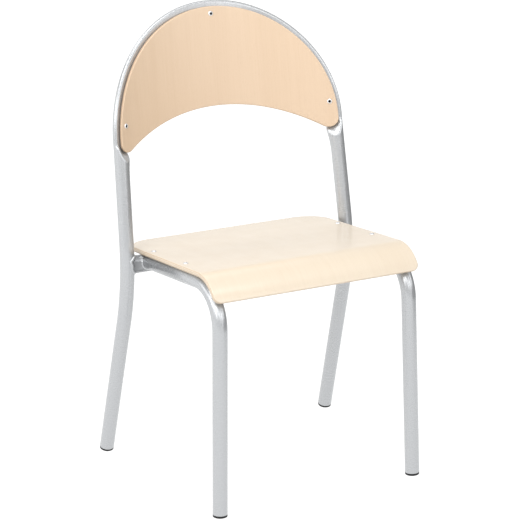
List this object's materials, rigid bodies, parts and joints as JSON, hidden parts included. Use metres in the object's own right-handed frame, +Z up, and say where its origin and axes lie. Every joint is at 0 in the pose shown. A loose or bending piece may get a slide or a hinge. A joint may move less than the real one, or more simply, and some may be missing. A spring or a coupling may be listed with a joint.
{
  "type": "choir chair",
  "caption": "Armless stacking chair with a bent steel tube frame, an arched tube round a bent plywood backrest and a plywood seat with a rolled front edge.",
  "frame": {"origin": "on the floor, under the middle of the chair's width and depth", "axes": "+Z up, the chair faces -Y, +X is to the right for somebody looking at its front"},
  "size_m": [0.5302, 0.4628, 0.8716],
  "materials": {
    "frame_paint": "satin silver-grey powder coat",
    "seat_plywood": "clear lacquered pale beech plywood",
    "backrest_plywood": "clear lacquered pale beech plywood",
    "rivet_zinc": "bright zinc plated",
    "mandrel_steel": "plain steel, dull",
    "glide_plastic": "black moulded plastic"
  },
  "bodies": {
    "root": {"rear_frame_tube": "frame_paint", "front_leg_and_rail_left": "frame_paint", "front_leg_and_rail_right": "frame_paint", "rear_cross_tube": "frame_paint", "front_cross_tube": "frame_paint", "weld_rear_cross_left": "frame_paint", "weld_rail_left": "frame_paint", "weld_front_cross_left": "frame_paint", "weld_rear_cross_right": "frame_paint", "weld_rail_right": "frame_paint", "weld_front_cross_right": "frame_paint", "seat_panel": "seat_plywood", "backrest_panel": "backrest_plywood", "backrest_rivet_left": "rivet_zinc", "backrest_mandrel_left": "mandrel_steel", "backrest_rivet_right": "rivet_zinc", "backrest_mandrel_right": "mandrel_steel", "backrest_rivet_top": "rivet_zinc", "backrest_mandrel_top": "mandrel_steel", "seat_rivet_front_left": "rivet_zinc", "seat_mandrel_front_left": "mandrel_steel", "seat_rivet_rear_left": "rivet_zinc", "seat_mandrel_rear_left": "mandrel_steel", "seat_rivet_front_right": "rivet_zinc", "seat_mandrel_front_right": "mandrel_steel", "seat_rivet_rear_right": "rivet_zinc", "seat_mandrel_rear_right": "mandrel_steel", "glide_rear_left": "glide_plastic", "glide_front_left": "glide_plastic", "glide_rear_right": "glide_plastic", "glide_front_right": "glide_plastic"}
  },
  "joints": []
}
